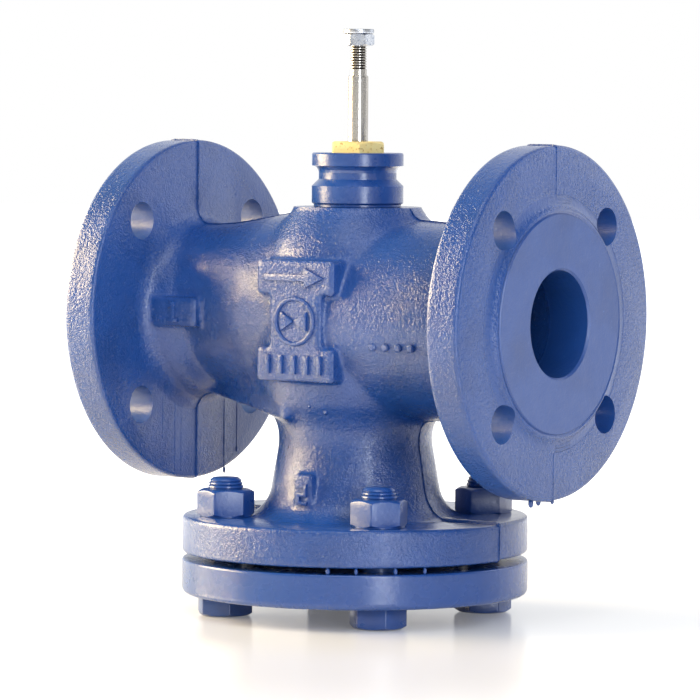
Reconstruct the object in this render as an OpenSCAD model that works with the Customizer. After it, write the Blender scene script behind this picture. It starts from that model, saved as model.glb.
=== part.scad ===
// Flanged globe valve: a cast body with two side ports and a bottom port that is blanked off,
// a turned bonnet neck, a packed stem and a V-port plug that closes upwards against its seat.
// Millimetres. The origin lies under the stem, on the plane of the bolt heads; +Z is up.
// Port 1 faces -X, port 2 faces +X, and the marked side of the body faces -Y.

/* [Flanges] */
// Outside diameter of the flanges
flange_d = 165; // [158:1:172]
// Rim thickness of the two side flanges, without the raised face
side_rim_t = 17; // [15:0.5:19]
// Rim thickness of the bottom flange, without the raised face
bottom_rim_t = 17.5; // [16:0.5:19]
// Diameter of the raised faces
raised_d = 102; // [98:1:104]
// Height of the raised face on the side flanges
side_raised_t = 3; // [2:0.5:4]
// Height of the raised face on the bottom flange
bottom_raised_t = 2; // [1.5:0.5:3]
// Distance from the centre of a bolt hole to the flange's rim
hole_edge = 20; // [18:0.5:21]
// Diameter of the bolt holes
hole_d = 18; // [17.5:0.5:19]
// Bolts in each flange
hole_count = 4; // [4]
// Thickness of the blind flange that closes the bottom port
blind_t = 16.5; // [15:0.5:19]
// Thickness of the flat gasket in the bottom joint
flange_gasket_t = 1; // [0.5:0.5:2]
// Distance from that gasket's rim to the bolts
gasket_edge = 1; // [0.5:0.5:3]
// Width of that gasket
gasket_w = 22.5; // [20:0.5:23]

/* [Body] */
// Length over the two side flange faces
face_to_face = 230; // [224:2:240]
// Height of the pipe axis above the bottom flange face
bottom_leg = 114.5; // [113:0.5:118]
// Diameter of the side ports
port_d = 50; // [48:1:52]
// Diameter of the bulged globe around the stem
globe_d = 97; // [95:1:99]
// Diameter of the leg to port 2
leg_two_d = 95; // [92:1:96]
// Diameter of the leg to port 1, at its flange
leg_one_root_d = 82; // [80:1:84]
// Diameter of that leg's round upper part, where it is narrowest
leg_one_d = 74; // [72:1:76]
// Diameter of the same part where it runs into the globe
leg_one_wide_d = 93; // [91:1:94]
// Diameter of the low passage under the leg to port 1
keel_d = 46; // [44:1:48]
// Waist diameter of the trunk above the bottom flange
trunk_d = 73.2; // [72:0.4:76]
// Diameter of the machined boss under the bonnet
boss_d = 59.5; // [58:0.5:60]
// Wall of the casting round the upper chamber
casting_wall = 9.5; // [8:0.5:10]

/* [Seat and plug] */
// Diameter of the lower chamber, through which the seat and plug go in
entry_d = 60; // [59:0.5:61]
// Clear diameter of the seat
seat_bore_d = 45; // [43:0.5:46]
// Outside diameter of the seat ring's screwed sleeve
seat_sleeve_d = 54; // [53:0.5:55]
// Thickness of the seat ring's flange
seat_flange_t = 3; // [2.5:0.5:4]
// Thickness of the wall that carries the seat
partition_t = 12; // [10:0.5:14]
// Thickness of the plug's disc
plug_disc_t = 14; // [12:0.5:16]
// Height of skirt that still guides the plug when it is fully open
skirt_guide_h = 6; // [4:0.5:8]
// Wall of the guide skirt
skirt_wall = 4; // [3:0.5:5]
// Travel of the stem
stroke = 20; // [16:1:20]

/* [Stem] */
// Diameter of the stem
stem_d = 9.5; // [9.4:0.1:9.8]
// Thread diameter at both ends of the stem
stem_thread_d = 8; // [7:0.5:8]
// Pitch of the stem's threads
stem_pitch = 1.25; // [1:0.25:1.25]
// Bright length of the stem that shows above the gland nut
stem_show = 31.3; // [28:0.1:36]
// Length of the thread that shows under the stem nut, with its undercut
thread_show = 14; // [12:0.5:16]
// Undercut below the stem's upper thread
undercut_l = 2.6; // [2:0.2:3]
// Width across flats of the nuts on the stem
stem_nut_af = 13; // [12.5:0.5:14]
// Height of the nut on the stem's upper end
stem_nut_h = 5.8; // [5:0.2:7]
// Height of the nut that holds the plug
plug_nut_h = 6.8; // [6:0.2:8]
// Diameter of the disc on the stem's end
button_d = 14.6; // [13.6:0.2:16]
// Thickness of the disc on the stem's end
button_t = 2.2; // [1.8:0.2:3]

/* [Bonnet and packing] */
// Outside diameter of the bonnet neck
neck_d = 43.6; // [42.6:0.2:44.6]
// Diameter at the bottom of the clamp groove
groove_d = 37; // [36:0.5:39]
// Height of the neck below the groove
neck_low_h = 8.5; // [7:0.5:10]
// Width of the clamp groove
groove_h = 9.6; // [8.6:0.2:10.6]
// Height of the groove's sloping lower side
groove_slope_h = 3.2; // [2.6:0.2:4]
// Height of the band above the groove
neck_top_h = 6.1; // [5.5:0.2:7.1]
// Thickness of the ring between bonnet and boss
bonnet_gasket_t = 1.5; // [1:0.5:2]
// Diameter of the bonnet's screwed spigot
spigot_d = 36; // [35:0.5:37]
// Length of the spigot inside the boss
spigot_l = 14; // [12:0.5:14]
// Diameter of the packing chamber
packing_d = 18; // [17.5:0.5:18.5]
// Height of one packing ring
packing_ring_h = 2; // [1.8:0.1:2]
// Number of packing rings
packing_count = 4; // [3:1:4]
// Free length of the packing spring as fitted
spring_l = 7; // [6:0.2:7]
// Wire diameter of the packing spring
spring_wire_d = 1.2; // [1:0.1:1.3]
// Coils of the packing spring
spring_coils = 4; // [3:0.5:4]
// Width across flats of the brass gland nut
gland_af = 24; // [23:0.5:26]
// Height of the gland nut's hexagon
gland_h = 5.4; // [5:0.2:7]
// Thread diameter of the gland nut
gland_thread_d = 22; // [21:0.5:22.5]

/* [Fasteners] */
// Diameter of the bottom bolts
bolt_d = 16; // [15:0.5:16]
// Pitch of the bolt thread
bolt_pitch = 2; // [1.5:0.5:2]
// Width across flats of the bottom bolts and nuts
bolt_af = 24; // [23:0.5:25]
// Height of the bolt heads
bolt_head_h = 10; // [9:0.5:11]
// Height of the bottom nuts
bolt_nut_h = 13; // [12:0.5:14]
// Length of bolt that stands above its nut
bolt_stick = 5.5; // [4:0.5:8]

/* [Marks] */
// Width of the I-shaped pad on the front
pad_w = 44; // [42:1:46]
// Width of that pad's waist
pad_waist_w = 29.4; // [27:0.2:31]
// Height of the pad's top band
pad_top_h = 16; // [14:0.5:17]
// Height of the pad's waist
pad_waist_h = 24.8; // [23:0.2:26]
// Height of the pad's bottom band
pad_low_h = 15.9; // [15:0.1:17]
// Height of the pad's face above the globe
pad_rise = 2.5; // [2:0.5:3.5]
// Height of the raised marks on the pads
mark_t = 1; // [0.6:0.2:1.4]

/* [Hidden] */
$fn = 96;
edge_steps = 4;

// Clearances: fit_gap in screwed and pressed joints, run_gap round the stem
fit_gap = 0.05;
run_gap = 0.06;
thread_gap = 0.1;
guide_gap = 0.1;
seat_gap = 0.1;
entry_gap = 0.5;
plug_side_gap = 2;
overrun = 1;

// Edges of castings and turned parts
cast_round = 1.6;
blind_low_round = 3;
blind_top_round = 1;
turned_chamfer = 0.6;
hex_chamfer_share = 0.94;
thread_depth_share = 0.61;

// Levels of the bottom joint
blind_top_z = bolt_head_h + blind_t;
port_three_z = blind_top_z + flange_gasket_t;
bottom_rim_z = port_three_z + bottom_raised_t;
bottom_top_z = bottom_rim_z + bottom_rim_t;
axis_z = port_three_z + bottom_leg;

// Bolt circle and gasket, and the room behind the holes for bolts and nuts
hole_circle_d = flange_d - 2 * hole_edge;
flange_gasket_d = hole_circle_d - bolt_d - 2 * gasket_edge;
hole_run = 20;
nut_room = 0.5;

// Side flanges, as distances from the stem axis
port_x = face_to_face / 2;
rim_face_x = port_x - side_raised_t;
rim_back_x = rim_face_x - side_rim_t;

// Casting outlines, as shares of trunk and globe radius
trunk_r = trunk_d / 2;
globe_r = globe_d / 2;
trunk_shares = [[1.257, 0], [1.2, 0.016], [1.153, 0.05], [1.12, 0.085], [1.087, 0.155], [1.06, 0.225],
    [1.033, 0.29], [1, 0.377], [1.008, 0.437], [1.038, 0.48]];
globe_low_shares = [[0.835, -0.938], [0.9, -0.845], [0.955, -0.7], [0.99, -0.495], [1, -0.247]];
globe_top_shares = [[1, 0.165], [0.98, 0.37], [0.944, 0.536], [0.887, 0.68], [0.81, 0.804],
    [0.726, 0.907], [0.652, 0.99], [0.623, 1.04]];
boss_h = 1.56;
boss_z = axis_z + globe_top_shares[7][1] * globe_r + boss_h;

// Leg to port 1: the round part sits above the pipe axis and the keel below it
leg_one_rise = 5;
leg_one_narrow_l = 23;
leg_one_narrow_x = rim_back_x - leg_one_narrow_l;
leg_one_mid_x = 40;
leg_one_mid_share = 0.68;
leg_one_root_l = 15;
leg_root_round = 3;
leg_two_round = 5;
keel_drop = 20;
keel_end_l = 11;
keel_end_x = rim_back_x - keel_end_l;
leg_wall = 6;

// Seat, passages and chambers
partition_drop = 8;
partition_low_z = axis_z - partition_drop;
partition_top_z = partition_low_z + partition_t;
seat_face_z = partition_low_z - seat_flange_t;
chamber_r = globe_r - casting_wall;
passage_r = 14;
side_passage_r = 12;
side_passage_y = 11;
passage_roof = 1;
side_passage_roof = 1.5;
passage_end_x = 20;
passage_start_l = 45;
passage_start_x = port_x - passage_start_l;
cavity_one_end_x = 50;
cavity_one_start_l = 35;
cavity_one_start_x = port_x - cavity_one_start_l;
cavity_two_end_x = 36;
cavity_two_start_l = 43;
cavity_two_start_x = port_x - cavity_two_start_l;
cavity_two_cone_l = 22;
cavity_two_cone_x = port_x - cavity_two_cone_l;
port_chamfer = 1;

// Plug on its stem, closed
seal_proud = 0.3;
seal_top_z = seat_face_z - seat_gap;
plug_top_z = seal_top_z - seal_proud;
plug_low_z = plug_top_z - plug_disc_t;
plug_r = entry_d / 2 - plug_side_gap;
plug_edge = 2;
seal_lip = 1;
seal_t = 4;
seal_inset = 0.7;
window_count = 2;
window_low = 1;
window_w = 18;
skirt_h = stroke + skirt_guide_h;
plug_washer_t = 1.6;
plug_washer_d = 17;
stem_collar_d = 14;
stem_collar_h = 4;
stem_tail = 2;

// Bonnet and its stack, from the boss up
bonnet_z = boss_z + bonnet_gasket_t;
groove_z = bonnet_z + neck_low_h;
band_z = groove_z + groove_h;
bonnet_top_z = band_z + neck_top_h;
spigot_z = boss_z - spigot_l;
gasket_bite = 2.8;
bush_d = 16;
bush_l = 12;
bush_flange_d = 20;
bush_flange_t = 1.5;
bush_top_z = spigot_z + bush_l;
washer_t = 1.2;
washer_gap = 0.2;
spring_z = bush_top_z + washer_t;
spring_seat = 0.05;
spring_steps = 14;
spring_sides = 6;
follower_z = spring_z + spring_l + spring_seat;
follower_t = 2;
packing_z = follower_z + follower_t;
packing_top_z = packing_z + packing_count * packing_ring_h;
packing_vee = 0.7;
gland_top_z = bonnet_top_z + gland_h;
oring_wire_d = 2.3;
oring_room = 0.1;
oring_rise = 3.6;
wiper_d = 15;
wiper_h = 2.6;
wiper_lip = 0.8;
wiper_sink = 0.2;
shoulder_z = gland_top_z + stem_show;
stem_nut_z = shoulder_z + thread_show;
button_z = stem_nut_z + stem_nut_h;
tip_d = 5;
tip_sink = 0.5;
undercut_d = stem_thread_d - stem_pitch / 8;
button_round = 0.6;

// Turn of each hexagon about its own axis, in degrees
gland_turn = 8;
stem_nut_turn = 31;
bolt_nut_turns = [37, 12, 43, 50];
bolt_head_turns = [37, 5, 15, 20];
first_hole_turn = 45;

// Pads and marks on the front of the casting
pad_drop = 29;
pad_z = axis_z - pad_drop;
pad_reach = globe_r + pad_rise;
pad_depth = 20;
port_pad_w = 25.4;
port_pad_h = 14;
port_pad_l = 17.7;
port_pad_x = port_pad_l - rim_back_x;
port_pad_lift = 1;
port_pad_z = axis_z + port_pad_lift;
port_pad_rise = 1;
port_pad_reach = leg_one_root_d / 2 + port_pad_rise;
port_pad_depth = 12;
low_pad_w = 10.4;
low_pad_h = 17;
low_pad_lift = 5;
low_pad_z = bottom_top_z + low_pad_lift;
low_pad_rise = 6.4;
low_pad_reach = trunk_r + low_pad_rise;
low_pad_depth = 8;
dot_count = 4;
dot_d = 4.2;
dot_step = 7;
dot_l = 43.5;
dot_x = rim_back_x - dot_l;
dot_drop = 11.5;
digit_h = 10;
digit_w = 6;
digit_line = 1.8;
arrow_l = 34;
arrow_h = 9;
arrow_bar_h = 3.4;
arrow_head_l = 11;
valve_sign_w = 22;
valve_sign_h = 14;
valve_sign_dot_d = 6;
bar_count = 5;
bar_w = 3;
bar_step = 7;
bar_h = 9;

blue = [0.16, 0.25, 0.55];

// Points on an arc round [x, y], from angle a to angle b
function arc(x, y, r, a, b) = [for (i = [0:edge_steps])
    let (t = a + (b - a) * i / edge_steps) [x + r * cos(t), y + r * sin(t)]];

// Outline of a disc from low to top with rounded rims, for turning about its axis
function disc(r, low, top, low_round, top_round) = concat([[0, low]],
    arc(r - low_round, low + low_round, low_round, -90, 0),
    arc(r - top_round, top - top_round, top_round, 0, 90), [[0, top]]);

// Outline of a square-cut ring with a chamfer at every corner
function ring(inner, outer, low, top, c) = [[inner, low + c], [inner + c, low], [outer - c, low],
    [outer, low + c], [outer, top - c], [outer - c, top], [inner + c, top], [inner, top - c]];

// Crests and roots of a ring-cut thread, from low to top
function thread(r, pitch, low, count) = [for (i = [0:count - 1]) each [[r, low + i * pitch],
    [r, low + (i + 0.25) * pitch], [r - thread_depth_share * pitch, low + (i + 0.625) * pitch],
    [r, low + (i + 1) * pitch]]];

module turned(points) { rotate_extrude() polygon(points); }

// Lays a shape that stands on the plane z = 0 along the pipe axis, outwards to port 1 or 2
module outwards(port) {
    translate([0, 0, axis_z]) rotate([0, port == 1 ? -90 : 90, 0]) children();
}

// Copies a shape to each hole of a bolt circle
module round_holes() {
    for (i = [0:hole_count - 1])
        rotate([0, 0, first_hole_turn + i * 360 / hole_count])
            translate([hole_circle_d / 2, 0, 0]) children();
}

// Hexagon prism with its corners turned off at one end or both
module hexagon(af, low, top, low_cut, top_cut) {
    corner = af / sqrt(3);
    flat = af / 2 * hex_chamfer_share;
    slope = (corner - flat) / sqrt(3);
    intersection() {
        translate([0, 0, low]) cylinder(h = top - low, r = corner, $fn = 6);
        turned([[0, low], [low_cut ? flat : corner + overrun, low],
            [corner + overrun, low_cut ? low + slope + overrun / sqrt(3) : low],
            [corner + overrun, top_cut ? top - slope - overrun / sqrt(3) : top],
            [top_cut ? flat : corner + overrun, top], [0, top]]);
    }
}

// Shape drawn in the x-z plane and given a thickness towards -Y, its face at reach
module front_plate(reach, depth) {
    translate([0, depth - reach, 0]) rotate([90, 0, 0]) linear_extrude(height = depth) children();
}

module bar(x, y, w, h) { translate([x, y]) square([w, h]); }

module digit_one() {
    bar(-digit_line / 2, -digit_h / 2, digit_line, digit_h);
    bar(-digit_line * 1.4, digit_h / 2 - digit_line * 1.5, digit_line * 1.4, digit_line);
    bar(-digit_w / 2, -digit_h / 2, digit_w, digit_line);
}

module digit_two() {
    for (y = [-digit_h / 2, -digit_line / 2, digit_h / 2 - digit_line])
        bar(-digit_w / 2, y, digit_w, digit_line);
    bar(digit_w / 2 - digit_line, 0, digit_line, digit_h / 2);
    bar(-digit_w / 2, -digit_h / 2, digit_line, digit_h / 2);
}

module flow_arrow() {
    bar(-arrow_l / 2, -arrow_bar_h / 2, arrow_l - arrow_head_l, arrow_bar_h);
    polygon([[arrow_l / 2 - arrow_head_l, -arrow_h / 2], [arrow_l / 2, 0],
        [arrow_l / 2 - arrow_head_l, arrow_h / 2]]);
}

module valve_sign() {
    for (side = [-1, 1])
        polygon([[0, 0], [side * valve_sign_w / 2, side * valve_sign_h / 2],
            [side * valve_sign_w / 2, -side * valve_sign_h / 2]]);
    circle(d = valve_sign_dot_d);
}

// I-shaped pad with an arrow, a valve sign and a row of bars
module front_pad() {
    waist_z = pad_z + pad_low_h;
    top_z = waist_z + pad_waist_h;
    front_plate(pad_reach, pad_depth) union() {
        bar(-pad_w / 2, pad_z, pad_w, pad_low_h);
        bar(-pad_waist_w / 2, pad_z, pad_waist_w, pad_low_h + pad_waist_h + pad_top_h);
        bar(-pad_w / 2, top_z, pad_w, pad_top_h);
    }
    front_plate(pad_reach + mark_t, mark_t + overrun) union() {
        translate([0, top_z + pad_top_h / 2]) flow_arrow();
        translate([0, waist_z + pad_waist_h / 2]) valve_sign();
        for (i = [0:bar_count - 1])
            bar((i - (bar_count - 1) / 2) * bar_step - bar_w / 2, pad_z + (pad_low_h - bar_h) / 2,
                bar_w, bar_h);
    }
}

module port_pads() {
    front_plate(port_pad_reach, port_pad_depth)
        bar(port_pad_x - port_pad_w / 2, port_pad_z - port_pad_h / 2, port_pad_w, port_pad_h);
    front_plate(port_pad_reach + mark_t, mark_t + overrun)
        translate([port_pad_x, port_pad_z]) digit_one();
    front_plate(low_pad_reach, low_pad_depth) bar(-low_pad_w / 2, low_pad_z, low_pad_w, low_pad_h);
    front_plate(low_pad_reach + mark_t, mark_t + overrun)
        translate([0, low_pad_z + low_pad_h / 2]) digit_two();
    for (i = [0:dot_count - 1])
        translate([dot_x + (i - (dot_count - 1) / 2) * dot_step, 0, axis_z - dot_drop])
            rotate([90, 0, 0]) cylinder(h = leg_two_d / 2 - mark_t / 2, d = dot_d);
}

// Outside of the casting
module casting() {
    trunk_h = axis_z - bottom_top_z;
    turned(concat([[0, bottom_rim_z + overrun], [trunk_shares[0][0] * trunk_r, bottom_rim_z + overrun]],
        [for (p = trunk_shares) [p[0] * trunk_r, bottom_top_z + p[1] * trunk_h]],
        [for (p = concat(globe_low_shares, globe_top_shares)) [p[0] * globe_r, axis_z + p[1] * globe_r]],
        [[boss_d / 2, boss_z - boss_h / 2], [boss_d / 2, boss_z], [0, boss_z]]));
    turned(disc(flange_d / 2, bottom_rim_z, bottom_top_z, cast_round, cast_round));
    turned(disc(raised_d / 2, port_three_z, bottom_rim_z + overrun, turned_chamfer, turned_chamfer));
    for (port = [1, 2]) outwards(port) {
        turned(disc(flange_d / 2, rim_back_x, rim_face_x, cast_round, cast_round));
        turned(disc(raised_d / 2, rim_face_x - overrun, port_x, turned_chamfer, turned_chamfer));
    }
    outwards(2) turned(concat([[0, 0], [leg_two_d / 2, 0]],
        arc(leg_two_d / 2 + leg_two_round, rim_back_x - leg_two_round, leg_two_round, 180, 90),
        [[leg_two_d / 2 + leg_two_round, rim_back_x + overrun], [0, rim_back_x + overrun]]));
    root_r = leg_one_root_d / 2;
    outwards(1) turned(concat([[0, leg_one_narrow_x - leg_wall], [leg_one_d / 2 - leg_wall,
        leg_one_narrow_x - leg_wall], [root_r, rim_back_x - leg_one_root_l]],
        arc(root_r + leg_root_round, rim_back_x - leg_root_round, leg_root_round, 180, 90),
        [[root_r + leg_root_round, rim_back_x + overrun], [0, rim_back_x + overrun]]));
    leg_one_mid_d = leg_one_d + leg_one_mid_share * (leg_one_wide_d - leg_one_d);
    translate([0, 0, leg_one_rise]) outwards(1)
        turned([[0, 0], [leg_one_wide_d / 2, 0], [leg_one_mid_d / 2, leg_one_mid_x],
            [leg_one_d / 2, leg_one_narrow_x], [leg_one_d / 2, rim_back_x + overrun],
            [0, rim_back_x + overrun]]);
    translate([0, 0, -keel_drop]) outwards(1)
        translate([0, 0, passage_end_x]) cylinder(h = keel_end_x - passage_end_x, d = keel_d);
    front_pad();
    port_pads();
}

// Upper chamber, domed like the globe, with the room towards port 2
module upper_chamber() {
    turned(concat([[0, partition_top_z], [chamber_r, partition_top_z]],
        [for (i = [1:6]) [globe_top_shares[i][0] * globe_r - casting_wall,
            axis_z + globe_top_shares[i][1] * chamber_r]],
        [[0, axis_z + globe_top_shares[6][1] * chamber_r]]));
    cavity_r = leg_two_d / 2 - casting_wall;
    outwards(2) turned([[0, cavity_two_end_x], [cavity_r, cavity_two_end_x],
        [cavity_r, cavity_two_start_x], [port_d / 2, cavity_two_cone_x], [0, cavity_two_cone_x]]);
    intersection() {
        outwards(2) cylinder(h = cavity_two_end_x + overrun, r = cavity_r);
        translate([0, -cavity_r, partition_top_z])
            cube([cavity_two_end_x + overrun, 2 * cavity_r, 2 * cavity_r]);
    }
}

// Way from port 1 down and under the seat
module lower_passage() {
    translate([0, 0, leg_one_rise]) outwards(1) translate([0, 0, cavity_one_end_x])
        cylinder(h = cavity_one_start_x - cavity_one_end_x, r = leg_one_d / 2 - leg_wall);
    passage_h = passage_start_x - passage_end_x;
    translate([0, 0, partition_low_z - passage_roof - passage_r - axis_z]) outwards(1)
        translate([0, 0, passage_end_x]) cylinder(h = passage_h, r = passage_r);
    for (side = [-1, 1])
        translate([0, side * side_passage_y, partition_low_z - side_passage_roof - side_passage_r - axis_z])
            outwards(1) translate([0, 0, passage_end_x]) cylinder(h = passage_h, r = side_passage_r);
}

module body() {
    color(blue) difference() {
        casting();
        upper_chamber();
        lower_passage();
        translate([0, 0, port_three_z - overrun])
            cylinder(h = partition_low_z - port_three_z + overrun, d = entry_d);
        translate([0, 0, partition_low_z - overrun])
            cylinder(h = partition_t + 2 * overrun, d = seat_sleeve_d + 2 * fit_gap);
        translate([0, 0, partition_top_z])
            cylinder(h = boss_z - partition_top_z + overrun, d = spigot_d + 2 * fit_gap);
        translate([0, 0, boss_z]) cylinder(h = neck_low_h + groove_h + neck_top_h, d = boss_d);
        for (port = [1, 2]) outwards(port) {
            translate([0, 0, cavity_one_start_x - overrun])
                cylinder(h = port_x - cavity_one_start_x + 2 * overrun, d = port_d);
            turned([[0, port_x - port_chamfer], [port_d / 2, port_x - port_chamfer],
                [port_d / 2 + port_chamfer + overrun, port_x + overrun], [0, port_x + overrun]]);
            round_holes() translate([0, 0, rim_back_x - hole_run])
                cylinder(h = hole_run + side_rim_t + side_raised_t + overrun, d = hole_d);
        }
        round_holes() translate([0, 0, port_three_z - overrun])
            cylinder(h = bottom_raised_t + bottom_rim_t + 2 * overrun, d = hole_d);
        round_holes() translate([0, 0, bottom_top_z])
            cylinder(h = bolt_nut_h + bolt_stick + overrun, r = bolt_af / sqrt(3) + nut_room);
    }
}

module seat_ring() {
    sleeve_r = seat_sleeve_d / 2;
    flange_r = entry_d / 2 - entry_gap;
    color("peru") turned([[seat_bore_d / 2, seat_face_z + turned_chamfer],
        [seat_bore_d / 2 + turned_chamfer, seat_face_z], [flange_r, seat_face_z],
        [flange_r, partition_low_z], [sleeve_r, partition_low_z], [sleeve_r, partition_top_z - turned_chamfer],
        [sleeve_r - turned_chamfer, partition_top_z], [seat_bore_d / 2, partition_top_z]]);
}

module bonnet() {
    r = neck_d / 2;
    groove_r = groove_d / 2;
    c = turned_chamfer;
    color(blue) turned(concat([[bush_d / 2 + fit_gap, spigot_z], [spigot_d / 2 - c, spigot_z],
        [spigot_d / 2, spigot_z + c], [spigot_d / 2, bonnet_z], [r - c, bonnet_z], [r, bonnet_z + c],
        [r, groove_z], [groove_r, groove_z + groove_slope_h]], arc(r, band_z - r + groove_r, r - groove_r, 180, 90),
        [[r, bonnet_top_z - c], [r - c, bonnet_top_z], [gland_thread_d / 2 + fit_gap, bonnet_top_z],
        [gland_thread_d / 2 + fit_gap, packing_top_z], [packing_d / 2, packing_top_z],
        [packing_d / 2, bush_top_z], [bush_d / 2 + fit_gap, bush_top_z]]));
}

module bonnet_gasket() {
    color(blue) turned(ring(spigot_d / 2 + 2 * fit_gap, spigot_d / 2 + gasket_bite, boss_z, bonnet_z,
        turned_chamfer / 2));
}

module guide_bush() {
    inner = stem_d / 2 + run_gap;
    color("darkgoldenrod") turned([[inner, spigot_z - bush_flange_t], [bush_flange_d / 2,
        spigot_z - bush_flange_t], [bush_flange_d / 2, spigot_z], [bush_d / 2, spigot_z],
        [bush_d / 2, bush_top_z], [inner, bush_top_z]]);
}

module spring_washer() {
    color("silver") turned(ring(stem_d / 2 + washer_gap, packing_d / 2 - washer_gap, bush_top_z, spring_z,
        washer_gap));
}

// One unbroken wire, wound about the stem
module packing_spring() {
    wire_r = spring_wire_d / 2;
    mean_r = packing_d / 2 - washer_gap - wire_r - spring_seat;
    rings = spring_coils * spring_steps;
    rise = spring_l - spring_wire_d - 2 * spring_seat;
    points = [for (i = [0:rings], k = [0:spring_sides - 1])
        let (turn = 360 * i / spring_steps, a = 360 * k / spring_sides, r = mean_r + wire_r * cos(a))
        [r * cos(turn), r * sin(turn), spring_z + spring_seat + wire_r + rise * i / rings + wire_r * sin(a)]];
    sides = [for (i = [0:rings - 1], k = [0:spring_sides - 1])
        let (a = i * spring_sides + k, b = i * spring_sides + (k + 1) % spring_sides)
        each [[a, a + spring_sides, b + spring_sides], [a, b + spring_sides, b]]];
    low = [for (k = [1:spring_sides - 2]) [0, k, k + 1]];
    high = [for (k = [1:spring_sides - 2])
        [rings * spring_sides, rings * spring_sides + k + 1, rings * spring_sides + k]];
    color("silver") polyhedron(points = points, faces = concat(sides, low, high));
}

module packing_follower() {
    color("silver") turned(ring(stem_d / 2 + run_gap, packing_d / 2 - fit_gap, follower_z, packing_z,
        washer_gap));
}

module packing_rings() {
    inner = stem_d / 2 + run_gap;
    outer = packing_d / 2 - fit_gap;
    middle = (inner + outer) / 2;
    color("white") for (i = [0:packing_count - 1]) {
        low = packing_z + i * packing_ring_h;
        top = low + packing_ring_h - packing_vee;
        turned([[inner, low], [middle, low + packing_vee], [outer, low], [outer, top],
            [middle, top + packing_vee], [inner, top]]);
    }
}

module gland_nut() {
    c = turned_chamfer;
    groove_r = stem_d / 2 + run_gap + oring_wire_d + oring_room;
    groove_z = packing_top_z + oring_rise;
    groove_l = oring_wire_d + 2 * oring_room;
    color("gold") difference() {
        union() {
            turned([[0, packing_top_z], [gland_thread_d / 2 - c, packing_top_z],
                [gland_thread_d / 2, packing_top_z + c], [gland_thread_d / 2, bonnet_top_z + overrun],
                [0, bonnet_top_z + overrun]]);
            rotate([0, 0, gland_turn]) hexagon(gland_af, bonnet_top_z, gland_top_z, false, true);
        }
        translate([0, 0, packing_top_z - overrun])
            cylinder(h = gland_top_z - packing_top_z + 2 * overrun, d = stem_d + 2 * thread_gap);
        translate([0, 0, groove_z]) cylinder(h = groove_l, r = groove_r);
        translate([0, 0, gland_top_z - wiper_h]) cylinder(h = wiper_h + overrun, d = wiper_d);
    }
}

module gland_oring() {
    r = oring_wire_d / 2;
    color("dimgray") translate([0, 0, packing_top_z + oring_rise + oring_room + r])
        rotate_extrude() translate([stem_d / 2 + run_gap + r, 0]) circle(r = r);
}

module wiper_ring() {
    inner = stem_d / 2 + run_gap;
    outer = wiper_d / 2 - fit_gap;
    low = gland_top_z - wiper_h;
    top = gland_top_z - wiper_sink;
    color("dimgray") turned([[inner + wiper_lip, low], [outer, low], [outer, top], [inner, top],
        [inner, top - wiper_lip]]);
}

module stem() {
    r = stem_d / 2;
    thread_r = stem_thread_d / 2;
    root_r = thread_r - thread_depth_share * stem_pitch;
    low_z = plug_low_z - plug_washer_t - plug_nut_h - stem_tail;
    collar_z = plug_top_z + stem_collar_h;
    cut_z = shoulder_z + undercut_l;
    turns = floor((button_z - cut_z) / stem_pitch);
    color("gainsboro") turned(concat([[0, low_z], [root_r, low_z], [thread_r, low_z + thread_r - root_r],
        [thread_r, plug_top_z], [stem_collar_d / 2, plug_top_z], [stem_collar_d / 2, collar_z], [r, collar_z],
        [r, shoulder_z - turned_chamfer], [r - turned_chamfer, shoulder_z], [undercut_d / 2, shoulder_z],
        [undercut_d / 2, cut_z]], thread(undercut_d / 2, stem_pitch, cut_z, turns),
        [[undercut_d / 2, button_z], [tip_d / 2, button_z], [tip_d / 2, button_z + button_t - tip_sink],
            [0, button_z + button_t - tip_sink]]));
}

// Disc with a soft ring in its face and a skirt whose windows open in a V
module plug() {
    skirt_r = seat_bore_d / 2 - guide_gap;
    groove_in = seat_bore_d / 2 + seal_inset;
    skirt_top_z = plug_top_z + skirt_h;
    color("darkkhaki") difference() {
        union() {
            turned([[0, plug_low_z], [plug_r - plug_edge, plug_low_z], [plug_r, plug_low_z + plug_edge],
                [plug_r, plug_top_z], [0, plug_top_z]]);
            turned([[skirt_r - skirt_wall, plug_top_z - overrun], [skirt_r, plug_top_z - overrun],
                [skirt_r, skirt_top_z - turned_chamfer], [skirt_r - turned_chamfer, skirt_top_z],
                [skirt_r - skirt_wall, skirt_top_z]]);
        }
        turned([[groove_in, plug_top_z - seal_t], [plug_r - seal_lip, plug_top_z - seal_t],
            [plug_r - seal_lip, plug_top_z + overrun], [groove_in, plug_top_z + overrun]]);
        translate([0, 0, plug_low_z - overrun])
            cylinder(h = plug_disc_t + 2 * overrun, d = stem_thread_d + 2 * fit_gap);
        for (i = [0:window_count - 1])
            rotate([90, 0, i * 180 / window_count]) linear_extrude(height = 2 * plug_r, center = true)
                polygon([[0, plug_top_z + window_low], [window_w / 2, plug_top_z + window_low + stroke],
                    [-window_w / 2, plug_top_z + window_low + stroke]]);
    }
}

module plug_seal() {
    inner = seat_bore_d / 2 + seal_inset + fit_gap;
    color("white") turned(ring(inner, plug_r - seal_lip - fit_gap, plug_top_z - seal_t, seal_top_z, washer_gap));
}

module plug_washer() {
    color("silver") turned(ring(stem_thread_d / 2 + fit_gap, plug_washer_d / 2, plug_low_z - plug_washer_t,
        plug_low_z, washer_gap));
}

// Hexagon nut with its thread bored plain
module nut(af, bore, low, top) {
    difference() {
        hexagon(af, low, top, true, true);
        translate([0, 0, low - overrun]) cylinder(h = top - low + 2 * overrun, d = bore);
    }
}

module plug_nut() {
    top = plug_low_z - plug_washer_t;
    color("silver") nut(stem_nut_af, stem_thread_d + 2 * fit_gap, top - plug_nut_h, top);
}

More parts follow.
